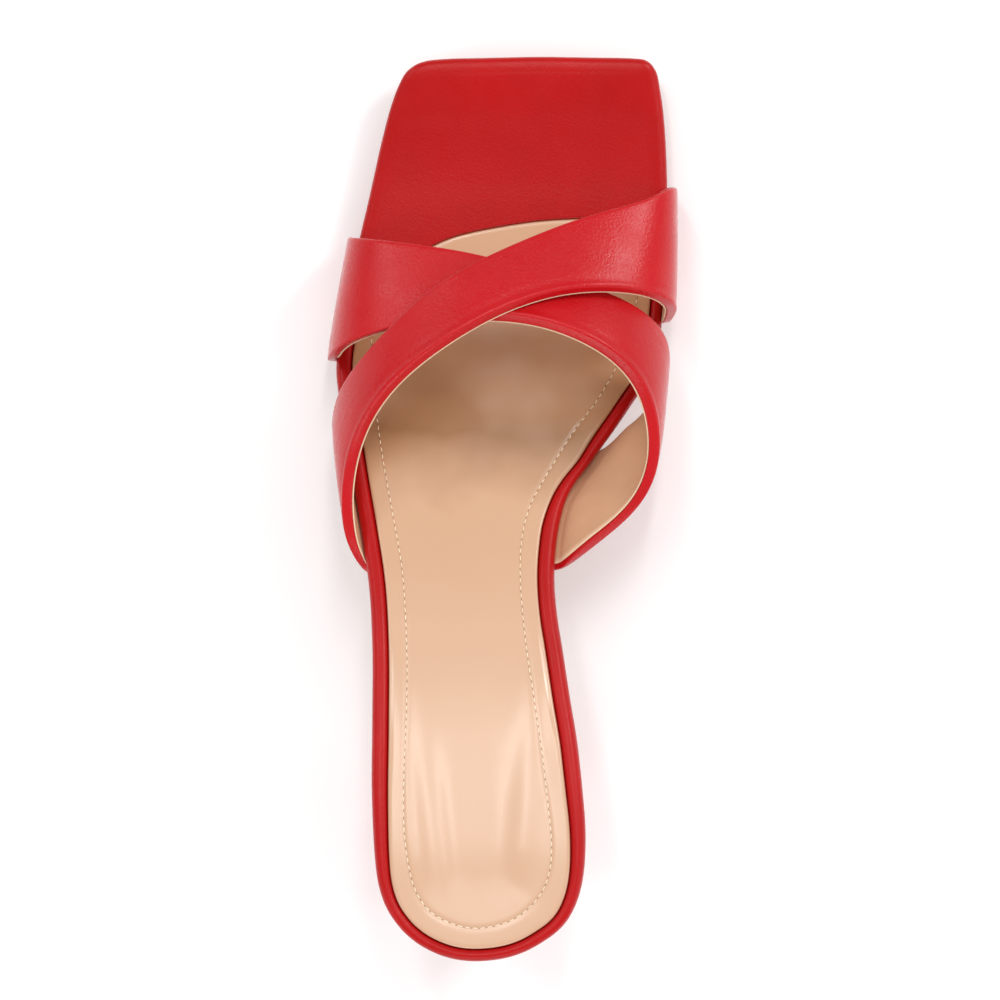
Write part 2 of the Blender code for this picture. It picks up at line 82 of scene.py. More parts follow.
# Footbed outline in four runs: share of BALL, share of LENGTH
OUTER_RAIL = [
    (-0.226, 0.029), (-0.258, 0.0445), (-0.281, 0.062), (-0.297, 0.084), (-0.306, 0.112),
    (-0.312, 0.145), (-0.317, 0.190),
    (-0.318, 0.250), (-0.322, 0.330), (-0.336, 0.400), (-0.365, 0.463), (-0.395, 0.520),
    (-0.422, 0.575), (-0.446, 0.625), (-0.452, 0.650), (-0.446, 0.680), (-0.427, 0.720),
    (-0.392, 0.785), (-0.356, 0.843), (-0.322, 0.900), (-0.291, 0.944), (-0.262, 0.972),
]
TOE_END = [
    (-0.262, 0.972), (-0.235, 0.987), (-0.190, 0.996), (-0.120, 0.999), (0.000, 1.000),
    (0.160, 1.001), (0.320, 1.000), (0.440, 0.999), (0.485, 0.996), (0.512, 0.984),
]
INNER_RAIL = [
    (0.512, 0.984), (0.523, 0.965), (0.533, 0.940), (0.541, 0.900), (0.545, 0.850),
    (0.543, 0.800), (0.540, 0.750), (0.534, 0.720), (0.524, 0.685), (0.504, 0.655),
    (0.478, 0.629), (0.440, 0.607), (0.392, 0.580), (0.350, 0.558), (0.312, 0.538),
    (0.272, 0.518), (0.243, 0.497), (0.224, 0.468), (0.214, 0.435), (0.213, 0.405),
    (0.222, 0.370), (0.238, 0.335), (0.262, 0.280), (0.285, 0.230), (0.303, 0.170),
    (0.3095, 0.138), (0.309, 0.108), (0.302, 0.083), (0.287, 0.061), (0.262, 0.0415),
    (0.230, 0.0275),
]
HEEL_END = [
    (0.230, 0.0275), (0.190, 0.0165), (0.141, 0.006), (0.089, -0.001), (0.037, -0.0045),
    (-0.016, -0.0055), (-0.068, -0.0035), (-0.118, 0.002), (-0.165, 0.0105), (-0.199, 0.0195),
    (-0.226, 0.029),
]
# Front edge of the sock, an arc between the rails
SOCK_FRONT = [
    (-0.365, 0.737), (-0.280, 0.765), (-0.171, 0.787), (-0.066, 0.802), (0.124, 0.815),
    (0.275, 0.819), (0.400, 0.819), (0.500, 0.816),
]

# %% [markdown]
# ## From a table to a smooth line
# Two helpers do the shoemaker's fairing. One lays a monotone cubic through a two-column table, for
# the heel's rise. The other passes a Catmull-Rom curve through rows of points, for outlines and
# strap edges. The closed outline can then be moved inwards for the rim, the sock and the outsole.


# %% Fairing helpers
def smooth_line(table, at):
    xs, ys = np.array(table, float).T
    step, slope = np.diff(xs), np.diff(ys) / np.diff(xs)
    tangent = np.zeros(len(xs))
    same = slope[1:] * slope[:-1] > 0
    w1, w2 = 2 * step[1:] + step[:-1], step[1:] + 2 * step[:-1]
    inner = np.zeros(len(slope) - 1)
    inner[same] = (w1 + w2)[same] / (w1[same] / slope[:-1][same] + w2[same] / slope[1:][same])
    tangent[1:-1] = inner
    tangent[0], tangent[-1] = slope[0], slope[-1]
    at = np.asarray(at, float)
    k = np.clip(np.searchsorted(xs, at) - 1, 0, len(step) - 1)
    t = np.clip((at - xs[k]) / step[k], 0, 1)
    return (
        (2 * t**3 - 3 * t**2 + 1) * ys[k] + (t**3 - 2 * t**2 + t) * step[k] * tangent[k]
        + (3 * t**2 - 2 * t**3) * ys[k + 1] + (t**3 - t**2) * step[k] * tangent[k + 1]
    )


def underside(y):
    return RISE * smooth_line(RISE_LINE, np.asarray(y) / LENGTH)


def fair(points, parts):
    p = np.asarray(points, float)
    p = np.concatenate([2 * p[:1] - p[1:2], p, 2 * p[-1:] - p[-2:-1]])
    a, b, c, d = p[:-3], p[1:-2], p[2:-1], p[3:]
    t = (np.arange(parts) / parts).reshape((-1,) + (1,) * p.ndim)
    rows = 0.5 * (2 * b + (c - a) * t + (2 * a - 5 * b + 4 * c - d) * t**2
                  + (3 * b - a - 3 * c + d) * t**3)
    rows = np.swapaxes(rows, 0, 1).reshape((-1,) + p.shape[1:])
    return np.concatenate([rows, p[-2:-1]])


def smooth_step(t):
    t = np.clip(t, 0, 1)
    return t * t * (3 - 2 * t)


def distance_along(line):
    """Distance from the polyline's start at each of its points."""
    return np.concatenate([[0], np.cumsum(np.linalg.norm(np.diff(line, axis=0), axis=1))])


def along_line(line, shares):
    """Points at these shares of the polyline's length."""
    far = distance_along(line)
    at = np.asarray(shares) * far[-1]
    return np.stack([np.interp(at, far, line[:, k]) for k in range(line.shape[1])], axis=1)


def inset(loop, by):
    """The closed loop moved inwards by a distance, point by point."""
    along = np.roll(loop, -1, axis=0) - np.roll(loop, 1, axis=0)
    along /= np.linalg.norm(along, axis=1)[:, None]
    return loop + by * np.stack([along[:, 1], -along[:, 0]], axis=1)


FINE = 12
SMOOTHING_ROUNDS = 600
PULL_IN, PUSH_OUT = 0.5, -0.504
run = OUTER_RAIL + TOE_END[1:] + INNER_RAIL[1:] + HEEL_END[1:-1]
OUTLINE = fair(run[-2:] + run + run[:2], FINE)[2 * FINE : (2 + len(run)) * FINE] * (BALL, LENGTH)
# The heel end is evened by pulling each point between its neighbours and pushing it out again
at_heel = smooth_step((0.13 - OUTLINE[:, 1:] / LENGTH) / 0.05)
for k in range(SMOOTHING_ROUNDS):
    pull = PULL_IN if k % 2 == 0 else PUSH_OUT
    before, after = np.roll(OUTLINE, 1, axis=0), np.roll(OUTLINE, -1, axis=0)
    OUTLINE += pull * at_heel * (before + after - 2 * OUTLINE) / 2
CORNER_IDS = [0]
for side in (OUTER_RAIL, TOE_END, INNER_RAIL):
    CORNER_IDS.append(CORNER_IDS[-1] + (len(side) - 1) * FINE)
lowest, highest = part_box("footbed")
TO_FRAME = np.array([lowest[0] - OUTLINE[:, 0].min(), highest[1] - OUTLINE[:, 1].max(), 0.0])
print("outline points:", len(OUTLINE), "origin of the shoe in the frame, mm:", TO_FRAME * 1000)

# %% [markdown]
# ## From a flat sheet to a laid one
# Leather starts flat, and so does each mesh here: `create_grid` makes a flat sheet with its UV map,
# and then each vertex is laid in its place. A board, a sock or a heel is a skin of closed rings, so
# its sheet is rolled up and its two long edges are merged. The ends are closed with a second sheet
# stretched between the four sides of the last ring.


# %% Sheet helpers
MERGE = 0.002 * MM


def laid_sheet(places):
    """A flat grid whose vertices are laid at places[row, column]."""
    rows, columns = places.shape[0] - 1, places.shape[1] - 1
    sheet = bmesh.new()
    sheet.loops.layers.uv.new("UVMap")
    bmesh.ops.create_grid(sheet, x_segments=columns, y_segments=rows, size=0.5, calc_uvs=True)
    for vert in sheet.verts:
        i, j = round((vert.co.y + 0.5) * rows), round((vert.co.x + 0.5) * columns)
        vert.co = places[i, j] + TO_FRAME
    return sheet


def rolled(rings):
    """Closed rings as a sheet whose last column lies on its first."""
    return laid_sheet(np.concatenate([rings, rings[:, :1]], axis=1))


def stretched(left, right, near, far, u, v):
    """Rows of points between four sides that share their corners (a Coons patch)."""
    u, v = u[:, None, None], v[None, :, None]
    across = (1 - v) * left[:, None] + v * right[:, None]
    along = (1 - u) * near[None] + u * far[None]
    corners = ((1 - u) * ((1 - v) * near[0] + v * near[-1])
               + u * ((1 - v) * far[0] + v * far[-1]))
    return across + along - corners


def joined(sheets):
    """One mesh of several sheets, merged where they touch, with all faces outward."""
    whole = bmesh.new()
    whole.loops.layers.uv.new("UVMap")
    for sheet in sheets:
        data = bpy.data.meshes.new("sheet")
        sheet.to_mesh(data)
        sheet.free()
        whole.from_mesh(data)
        bpy.data.meshes.remove(data)
    bmesh.ops.remove_doubles(whole, verts=whole.verts, dist=MERGE)
    bmesh.ops.recalc_face_normals(whole, faces=whole.faces)
    return whole


def closed_body(rings, first_cap, last_cap):
    """A skin of closed rings with a sheet over each end."""
    return joined([rolled(rings), laid_sheet(first_cap), laid_sheet(last_cap)])


def finished(name, whole, material, node):
    """The mesh as a named piece that rides on the shoe and stands for its solid."""
    data = bpy.data.meshes.new(name)
    whole.to_mesh(data)
    whole.free()
    data.materials.append(material)
    piece = bpy.data.objects.new(name, data)
    bpy.context.scene.collection.objects.link(piece)
    data.shade_smooth()
    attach(piece, "root")
    if node:
        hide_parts(node)
    print(name, len(data.polygons), "faces")
    return piece


# %% [markdown]
# ## Leather, lining and rubber
# Smooth upper leather has a fine grain that shows only where light grazes it, a soft sheen, and a
# slightly uneven dye. The grain comes from a Voronoi pattern, whose cells are like the plates
# between the pores, and from fine noise, both as bump. All of it reads Object coordinates in
# metres, so a scale of 1600 means cells of about 0.6 mm.


# %% Material helpers
def nodes_of(name, roughness, specular=0.5, coat=0.0, coat_roughness=0.2, sheen=0.0):
    made = bpy.data.materials.new(name)
    made.use_nodes = True
    tree = made.node_tree
    shader = tree.nodes["Principled BSDF"]
    shader.inputs["Roughness"].default_value = roughness
    shader.inputs["Specular IOR Level"].default_value = specular
    shader.inputs["Coat Weight"].default_value = coat
    shader.inputs["Coat Roughness"].default_value = coat_roughness
    shader.inputs["Sheen Weight"].default_value = sheen
    shader.inputs["Sheen Roughness"].default_value = 0.25
    place = tree.nodes.new("ShaderNodeTexCoord")
    return made, tree, shader, place.outputs["Object"]


def node(tree, kind, links=(), **values):
    """A node with its values set, by input name or by property, and its inputs linked."""
    made = tree.nodes.new("ShaderNode" + kind)
    for key, value in values.items():
        if hasattr(made, key):
            setattr(made, key, value)
        else:
            made.inputs[key.replace("_", " ").title()].default_value = value
    for key, source in links:
        tree.links.new(source, made.inputs[key])
    return made


def noise(tree, where, scale, detail=3.0):
    return node(tree, "TexNoise", [("Vector", where)], Scale=scale, Detail=detail).outputs["Fac"]


def ramp(tree, source, stops):
    made = node(tree, "ValToRGB", [("Fac", source)])
    line = made.color_ramp
    while len(line.elements) < len(stops):
        line.elements.new(0.5)
    for element, (at, colour) in zip(line.elements, stops):
        element.position = at
        element.color = (*colour, 1)
    return made.outputs["Color"]


def spread(tree, source, low, high, to_low, to_high):
    made = node(tree, "MapRange", [("Value", source)])
    values = {"From Min": low, "From Max": high, "To Min": to_low, "To Max": to_high}
    for key, value in values.items():
        made.inputs[key].default_value = value
    return made.outputs["Result"]


def grain(tree, where, shader, cells, depth, strength):
    """Leather grain: plates between pores and fine noise, as bump."""
    plates = node(tree, "TexVoronoi", [("Vector", where)], Scale=cells)
    pores = noise(tree, where, cells * 2.6, 4.0)
    soft = noise(tree, where, cells * 0.12, 2.0)
    sum_1 = node(tree, "Math", [(0, plates.outputs["Distance"]), (1, pores)], operation="ADD")
    sum_2 = node(tree, "Math", [(0, sum_1.outputs[0]), (1, soft)], operation="ADD")
    bump = node(tree, "Bump", [("Height", sum_2.outputs[0])])
    bump.inputs["Strength"].default_value = strength
    bump.inputs["Distance"].default_value = depth
    tree.links.new(bump.outputs["Normal"], shader.inputs["Normal"])


def red_leather(name, dark, light, rough, specular, sheen, strength):
    made, tree, shader, where = nodes_of(name, rough, specular, sheen=sheen)
    uneven = noise(tree, where, 45.0, 5.0)
    tree.links.new(ramp(tree, uneven, [(0.3, dark), (0.7, light)]), shader.inputs["Base Color"])
    rub = spread(tree, noise(tree, where, 140.0, 3.0), 0.3, 0.7, rough - 0.04, rough + 0.05)
    tree.links.new(rub, shader.inputs["Roughness"])
    grain(tree, where, shader, 1500.0, 0.08 * MM, strength)
    return made


# %% Leathers and rubbers
strap_red = red_leather("red_strap_leather", (0.45, 0.002, 0.005), (0.50, 0.004, 0.008),
                        0.29, 0.29, 0.26, 0.50)
wrap_red = red_leather("red_wrap_leather", (0.39, 0.001, 0.001), (0.44, 0.002, 0.003),
                       0.36, 0.22, 0.09, 0.30)
heel_red = red_leather("red_heel_leather", (0.43, 0.001, 0.002), (0.48, 0.003, 0.004),
                       0.34, 0.28, 0.12, 0.35)


def plain_leather(name, dark, light, roughness, strength):
    made, tree, shader, where = nodes_of(name, roughness, 0.4)
    uneven = noise(tree, where, 60.0, 5.0)
    tree.links.new(ramp(tree, uneven, [(0.3, dark), (0.7, light)]), shader.inputs["Base Color"])
    grain(tree, where, shader, 2000.0, 0.05 * MM, strength)
    return made


lining_tan = plain_leather("tan_lining", (0.58, 0.325, 0.185), (0.65, 0.375, 0.22), 0.50, 0.25)
thread_cream = plain_leather("cream_thread", (0.80, 0.65, 0.45), (0.88, 0.74, 0.54), 0.7, 0.3)
# The needle holes' dark brown is painted shade of the holes
painted_hole_shade = plain_leather("needle_hole", (0.28, 0.15, 0.08), (0.36, 0.20, 0.11), 0.9, 0.1)
sole_tan = plain_leather("tan_sole_rubber", (0.30, 0.16, 0.085), (0.36, 0.20, 0.11), 0.62, 0.5)
piece_black = plain_leather("black_rubber", (0.020, 0.018, 0.017), (0.032, 0.028, 0.026), 0.7, 0.6)


EDGE_BLEND = 0.006
CREAM = (0.76, 0.55, 0.37, 1)


def with_cream_edge(made, first, last):
    """The lining's cut edge: the part of the sheet between two U values of its own map."""
    tree = made.node_tree
    shader = tree.nodes["Principled BSDF"]
    tan = shader.inputs["Base Color"].links[0].from_socket
    place = node(tree, "TexCoord").outputs["UV"]
    u = node(tree, "SeparateXYZ", [("Vector", place)]).outputs["X"]
    none, full = (0.0, 0.0, 0.0), (1.0, 1.0, 1.0)
    stops = [(first - EDGE_BLEND, none), (first, full), (last, full), (last + EDGE_BLEND, none)]
    mask = ramp(tree, u, stops)
    mixed = node(tree, "Mix", [("Factor", mask), ("A", tan)], data_type="RGBA")
    mixed.inputs["B"].default_value = CREAM
    tree.links.new(mixed.outputs["Result"], shader.inputs["Base Color"])
    return made


with_cream_edge(lining_tan, 0.437, 0.489)


def sock_leather():
    """Tan leather with a clear coat, browner at the ball, partly its own tone and partly painted
    shade of the straps, with pale spots of painted reflection there.
    """
    made, tree, shader, where = nodes_of("tan_sock_leather", 0.30, 0.45, 0.6, 0.2)
    split = node(tree, "SeparateXYZ", [("Vector", where)])
    wander = spread(tree, noise(tree, where, 26.0, 3.0), 0.3, 0.7, -0.009, 0.009)
    y = node(tree, "Math", [(0, split.outputs["Y"]), (1, wander)], operation="ADD").outputs[0]
    share = spread(tree, y, -0.115, 0.075, 0.0, 1.0)
    # Tone along the foot: the dark brown band behind the ball is partly the leather's own brown and
    # partly painted shade of the straps
    tan_and_painted_shade = ramp(tree, share, [
        (0.00, (0.59, 0.355, 0.222)), (0.22, (0.575, 0.345, 0.213)), (0.46, (0.615, 0.374, 0.232)),
        (0.60, (0.59, 0.35, 0.208)), (0.69, (0.37, 0.187, 0.084)), (0.82, (0.60, 0.335, 0.18)),
        (1.00, (0.60, 0.343, 0.197)),
    ])
    # Pale spots at the ball, mixed over the tone, are a painted reflection of light through the gap
    # under the straps
    painted_reflection_spots = spread(tree, noise(tree, where, 42.0, 2.0), 0.50, 0.75, 0.0, 0.38)
    at_ball = spread(tree, y, -0.005, 0.02, 0.0, 1.0)
    painted_reflection_share = node(tree, "Math", [(0, painted_reflection_spots), (1, at_ball)], operation="MULTIPLY").outputs[0]
    pale = node(tree, "Mix", [("Factor", painted_reflection_share), ("A", tan_and_painted_shade)], data_type="RGBA")
    pale.inputs["B"].default_value = (0.70, 0.50, 0.38, 1)
    tree.links.new(pale.outputs["Result"], shader.inputs["Base Color"])
    rub = spread(tree, noise(tree, where, 40.0, 1.0), 0.0, 1.0, 0.27, 0.35)
    tree.links.new(rub, shader.inputs["Roughness"])
    grain(tree, where, shader, 1900.0, 0.05 * MM, 0.10)
    return made


sock_tan = sock_leather()
print("materials:", len(bpy.data.materials))

# %% [markdown]
# ## The footbed's wrap
# The board under the foot is wrapped in the straps' red leather. Along the sides and round the heel
# the wrap shows as a rounded rim about 4 mm wide, and in front of the sock it is one smooth pillow.
# Each ring of the skin is the outline moved inwards by the first number, at the height above the
# outsole's underside of the second. Behind the sock's front edge the rim rolls down into a groove.
# In front of it the third number holds, and the surface goes on as the pillow.

# %% Rings of the rim: inwards, height behind the arc, height in front of it, in mm
RIM_RINGS = [
    (7.00, 3.40, 3.40), (3.10, 3.40, 3.40), (1.70, 3.50, 3.50), (0.80, 3.90, 3.90),
    (0.28, 4.70, 4.70), (0.05, 5.80, 5.80), (0.00, 6.80, 6.80), (0.10, 7.80, 7.70),
    (0.40, 8.60, 8.45), (0.90, 9.20, 8.95), (1.50, 9.58, 9.28), (2.20, 9.70, 9.48),
    (2.85, 9.64, 9.60), (3.40, 9.42, 9.67), (3.80, 9.05, 9.71), (4.02, 8.55, 9.73),
    (4.10, 8.00, 9.74),
]
RAIL_ROWS, SOCK_ROWS, END_COLUMNS = 260, 190, 84


def sides_of(loop, ids):
    """Outer rail heel to toe, toe end, inner rail toe to heel, heel end."""
    ends = list(ids[1:]) + [len(loop)]
    closed = np.concatenate([loop, loop[:1]])
    return [closed[a : b + 1] for a, b in zip(ids, ends)]


def reach(rail, arc):
    """Share of the rail's length at which it passes the arc."""
    past = rail[:, 1] > np.interp(rail[:, 0], arc[:, 0], arc[:, 1])
    k = int(np.argmax(past))
    far = distance_along(rail)
    return far[k] / far[-1]


def eased(steps, ease=0.5):
    t = np.linspace(0, 1, steps + 1)
    return t - ease * np.sin(2 * np.pi * t) / (2 * np.pi)


# The rim is narrower round the heel and at the inner waist, and narrowest where the waist bends
HEEL_NARROW, WAIST_NARROW, BEND_NARROW = 0.27, 0.20, 0.15
BEND_AT, BEND_HALF = 0.532, 0.022
SHARE = OUTLINE[:, 1:] / LENGTH
WAIST = smooth_step((SHARE - 0.46) / 0.05) * smooth_step((0.80 - SHARE) / 0.08)
WAIST = (OUTLINE[:, :1] > 0) * WAIST
BEND = BEND_NARROW * np.exp(-(((SHARE - BEND_AT) / BEND_HALF) ** 2))
NARROW = 1 - HEEL_NARROW * smooth_step((0.22 - SHARE) / 0.22) - WAIST * (WAIST_NARROW + BEND)
ARC = fair(SOCK_FRONT, 16) * (BALL, LENGTH)
rim_sides = sides_of(inset(OUTLINE, RIM * NARROW), CORNER_IDS)
meets = [reach(rim_sides[0], ARC), reach(rim_sides[2][::-1], ARC)]
FOLD = np.array([0.35, 0.12, 0.0]) * MM / (0.75 * LENGTH)


def rail_shares(meet):
    """Shares along a rail, with rows close together where the toe's leather folds down."""
    back = np.concatenate([eased(SOCK_ROWS - 2, 0.3)[:-1] * (1 - FOLD[0]), 1 - FOLD])
    front = eased(RAIL_ROWS - SOCK_ROWS, 0.3)
    return np.concatenate([back * meet, meet + front[1:] * (1 - meet)])


def ring_on(loop, ids, outer, inner, ends):
    outer_rail, toe, inner_rail, heel = sides_of(loop, ids)
    runs = [
        along_line(outer_rail, outer)[:-1], along_line(toe, ends)[:-1],
        along_line(inner_rail[::-1], inner)[::-1][:-1], along_line(heel, ends)[:-1],
    ]
    return np.concatenate(runs)


outer_shares, inner_shares = rail_shares(meets[0]), rail_shares(meets[1])
end_shares = eased(END_COLUMNS)
row_of = np.concatenate([
    np.arange(RAIL_ROWS), np.full(END_COLUMNS, RAIL_ROWS),
    np.arange(RAIL_ROWS, 0, -1), np.zeros(END_COLUMNS),
])
in_front = smooth_step((row_of - SOCK_ROWS + 1) / 6)
rim = []
for by, behind, ahead in RIM_RINGS:
    loop = inset(OUTLINE, by * MM * NARROW)
    flat = ring_on(loop, CORNER_IDS, outer_shares, inner_shares, end_shares)
    high = (behind + (ahead - behind) * in_front) * MM
    rim.append(np.column_stack([flat, underside(flat[:, 1]) + high]))
rim = np.array(rim)
print("rings of the rim:", len(rim), "points in each:", len(row_of))


# %% Caps of a skin
def four_sides(ring, rows, columns):
    """Left and right rail heel to toe, near and far end outer to inner."""
    left = ring[: rows + 1]
    far = ring[rows : rows + columns + 1]
    right = ring[rows + columns : 2 * rows + columns + 1][::-1]
    near = np.concatenate([ring[2 * rows + columns :], ring[:1]])[::-1]
    return left, right, near, far


def cap(ring, grid, rails, ends):
    """A sheet stretched over the opening of one ring."""
    return stretched(*four_sides(ring, *grid), rails, ends)


# %% Top of the wrap, seat and toe apart
PILLOW = 0.45 * MM
FOLD_DROP = 0.3 * MM
RIM_GRID = (RAIL_ROWS, END_COLUMNS)
left, right, near, far = four_sides(rim[-1], *RIM_GRID)
arc_ends = [left[SOCK_ROWS], right[SOCK_ROWS]]
arc_in = ARC[(ARC[:, 0] > arc_ends[0][0] + MM) & (ARC[:, 0] < arc_ends[1][0] - MM)]
arc_line = np.concatenate([arc_ends[0][None, :2], arc_in, arc_ends[1][None, :2]])
arc_row = along_line(arc_line, end_shares)
arc_row = np.column_stack([arc_row, np.zeros(len(arc_row))])
u_rows = (outer_shares / meets[0] + inner_shares / meets[1]) / 2
u_front = ((outer_shares - meets[0]) / (1 - meets[0])
           + (inner_shares - meets[1]) / (1 - meets[1])) / 2
seat = stretched(left[: SOCK_ROWS + 1], right[: SOCK_ROWS + 1], near, arc_row,
                 u_rows[: SOCK_ROWS + 1], end_shares)
toe = stretched(left[SOCK_ROWS:], right[SOCK_ROWS:], arc_row, far,
                u_front[SOCK_ROWS:], end_shares)

# %% Heights of the seat and of the pillow
crown = np.sin(np.pi * end_shares)[None, :] ** 0.6
front_crown = np.sin(np.pi * np.clip(0.12 + 0.88 * u_front[SOCK_ROWS:], 0, 1))[:, None] ** 0.5
seat[:, :, 2] = underside(seat[:, :, 1]) + RIM_RINGS[-1][1] * MM
toe_high = RIM_RINGS[-1][2] * MM + PILLOW * crown * front_crown
toe[:, :, 2] = underside(toe[:, :, 1]) + toe_high
seat[-1] = toe[0]
seat[-2, :, 2] = underside(seat[-2, :, 1]) + (toe_high[0] - FOLD_DROP)
top = np.concatenate([seat, toe[1:]])
top[:, 0], top[:, -1], top[0], top[-1] = left, right, near, far
below = cap(rim[0], RIM_GRID, outer_shares, end_shares)
below[1:-1, 1:-1, 2] = underside(below[1:-1, 1:-1, 1]) + RIM_RINGS[0][1] * MM
finished("footbed_wrap", closed_body(rim, top, below), wrap_red, "footbed")

# %% [markdown]
# ## The sock
# The thin tan leather under the foot is called the sock. It lies in the wrap's recess, a little
# lower than the rim, so that a dark line runs round it. It is cupped at the heel seat, and a line
# of cream stitches follows it a few millimetres inside its edge, pulled into a shallow furrow.

# %% Sock outline and its stitch line
SOCK_MARGIN = 0.25 * MM
SOCK_RINGS = [
    (0.60, 8.15), (0.05, 8.20), (0.00, 8.80), (0.05, 9.05), (0.20, 9.24), (0.50, 9.36),
    (1.00, 9.41),
]
SOCK_GRID = (250, 104)
# Stitch line from the outer side of the ball round the heel to the inner side of the ball
STITCH_LINE = [
    (-0.347, 0.687), (-0.330, 0.610), (-0.303, 0.543), (-0.266, 0.475), (-0.236, 0.415),
    (-0.220, 0.341), (-0.216, 0.270), (-0.221, 0.197), (-0.219, 0.140), (-0.206, 0.102),
    (-0.184, 0.072), (-0.141, 0.049), (-0.077, 0.036), (-0.011, 0.031), (0.052, 0.034),
    (0.107, 0.042), (0.154, 0.056), (0.190, 0.075), (0.209, 0.100), (0.210, 0.130),
    (0.200, 0.165), (0.184, 0.215), (0.157, 0.280), (0.131, 0.341), (0.113, 0.405),
    (0.114, 0.452), (0.134, 0.488), (0.166, 0.513), (0.215, 0.545), (0.269, 0.577),
    (0.337, 0.612), (0.393, 0.650), (0.435, 0.695), (0.456, 0.730),
]


def sock_outline():
    arc = ARC - (0, SOCK_MARGIN)
    body = inset(OUTLINE, RIM * NARROW + SOCK_MARGIN)
    kept = body[body[:, 1] < np.interp(body[:, 0], arc[:, 0], arc[:, 1])]
    turn = int(np.argmax(np.linalg.norm(kept - np.roll(kept, 1, axis=0), axis=1)))
    kept = np.roll(kept, -turn, axis=0)
    inside = arc[(arc[:, 0] > kept[-1][0] + MM) & (arc[:, 0] < kept[0][0] - MM)]
    heel_outer = int(np.argmin(np.linalg.norm(kept - body[CORNER_IDS[0]], axis=1)))
    loop = np.roll(np.concatenate([kept, inside]), -heel_outer, axis=0)
    heel_inner = int(np.argmin(np.linalg.norm(loop - body[CORNER_IDS[3]], axis=1)))
    last = len(kept) - 1 - heel_outer
    return loop, [0, last, last + len(inside) + 1, heel_inner]


def distance_to(points, line):
    """Distance from each flat point to a polyline."""
    best = np.full(points.shape[:-1], 1.0)
    for a, b in zip(line[:-1], line[1:]):
        ab = b - a
        t = np.clip(((points - a) @ ab) / (ab @ ab), 0, 1)
        best = np.minimum(best, np.linalg.norm(points - a - t[..., None] * ab, axis=-1))
    return best


sock_loop, sock_ids = sock_outline()
sock_edge = np.concatenate([sock_loop, sock_loop[:1]])[::3]
stitch_line = fair(STITCH_LINE, 6) * (BALL, LENGTH)
print("stitch line, mm:", round(1000 * np.linalg.norm(np.diff(stitch_line, axis=0), axis=1).sum()))


# %% Sock surface
# Soft ridges of the padding under the heel: x share of BALL, first and last y share, half width
# in mm, height in mm
SEAT_RIDGES = [
    (-0.165, 0.06, 0.37, 3.2, 0.20), (-0.085, 0.05, 0.27, 2.2, 0.12),
    (0.105, 0.07, 0.42, 3.8, 0.26),
]
FURROW, FURROW_HALF = 0.09 * MM, 0.55 * MM
CUP, CUP_REACH = 0.8, 19 * MM


def sock_height(points):
    """Height of the sock above the outsole's underside, cupped at the seat, with soft ridges."""
    x, share = points[..., 0], points[..., 1] / LENGTH
    from_rim = distance_to(points, sock_edge)
    cup = CUP * smooth_step((0.34 - share) / 0.2) * smooth_step(from_rim / CUP_REACH)
    high = SOCK_RINGS[-1][1] * MM - cup * MM
    for at, first, last, half, rise in SEAT_RIDGES:
        along = smooth_step((share - first) / 0.05) * smooth_step((last - share) / 0.1)
        middle = (at + (share - first) * 0.30 * np.sign(at)) * BALL
        high += rise * MM * along * np.exp(-(((x - middle) / (half * MM)) ** 2))
    return high


sock_ends = eased(SOCK_GRID[1], 0.3)
sock_rails = eased(SOCK_GRID[0], 0.3)
sock_rings = []
for by, high in SOCK_RINGS:
    flat = ring_on(inset(sock_loop, by * MM), sock_ids, sock_rails, sock_rails, sock_ends)
    sock_rings.append(np.column_stack([flat, underside(flat[:, 1]) + high * MM]))
sock_rings = np.array(sock_rings)
face = cap(sock_rings[-1], SOCK_GRID, sock_rails, sock_ends)
furrow = FURROW * np.exp(-((distance_to(face[:, :, :2], stitch_line) / FURROW_HALF) ** 2))
inner = (slice(1, -1), slice(1, -1))
face[inner][..., 2] = (underside(face[:, :, 1]) + sock_height(face[:, :, :2]) - furrow)[inner]
back = cap(sock_rings[0], SOCK_GRID, sock_rails, sock_ends)
back[inner][..., 2] = underside(back[inner][..., 1]) + SOCK_RINGS[0][1] * MM
finished("sock_lining", closed_body(sock_rings, face, back), sock_tan, "sock")

# %% [markdown]
# ## Stitches
# A machine stitch is a short dash of thread that dives into a hole at each end. One small sphere is
# stretched to a dash and repeated along the line, each copy turned a little, as thread lies. A
# second small sphere, dark brown, stands for the needle hole between two dashes, as painted shade
# of the hole.

# %% Stitches and needle holes
PITCH = 1.9 * MM
DASH, THREAD = 0.66 * MM, 0.17 * MM
HOLE, HOLE_HALF = 0.18 * MM, 0.14 * MM


def top_of_sock(points):
    return underside(points[:, 1]) + sock_height(points) - 0.5 * FURROW


def repeat_along(line, pitch, start, lengthways, thick, lift, turn):
    """Small spheres stretched and set along a line on the sock."""
    whole = bmesh.new()
    total = np.linalg.norm(np.diff(line, axis=0), axis=1).sum()
    shares = np.arange(start, total, pitch) / total
    spots = along_line(line, shares)
    ahead = along_line(line, np.clip(shares + 0.0005, 0, 1))
    spots = np.column_stack([spots, top_of_sock(spots)])
    ahead = np.column_stack([ahead, top_of_sock(ahead)])
    for k, (spot, after) in enumerate(zip(spots, ahead)):
        way = Vector(after - spot).normalized()
        place = Matrix.Translation(Vector(spot + TO_FRAME) + Vector((0, 0, lift)))
        place = place @ way.to_track_quat("X", "Z").to_matrix().to_4x4()
        place = place @ Matrix.Rotation(turn * (-1) ** k, 4, "Z")
        place = place @ Matrix.Diagonal((lengthways, thick, thick, 1))
        bmesh.ops.create_uvsphere(whole, u_segments=8, v_segments=6, radius=1.0, matrix=place)
    return whole


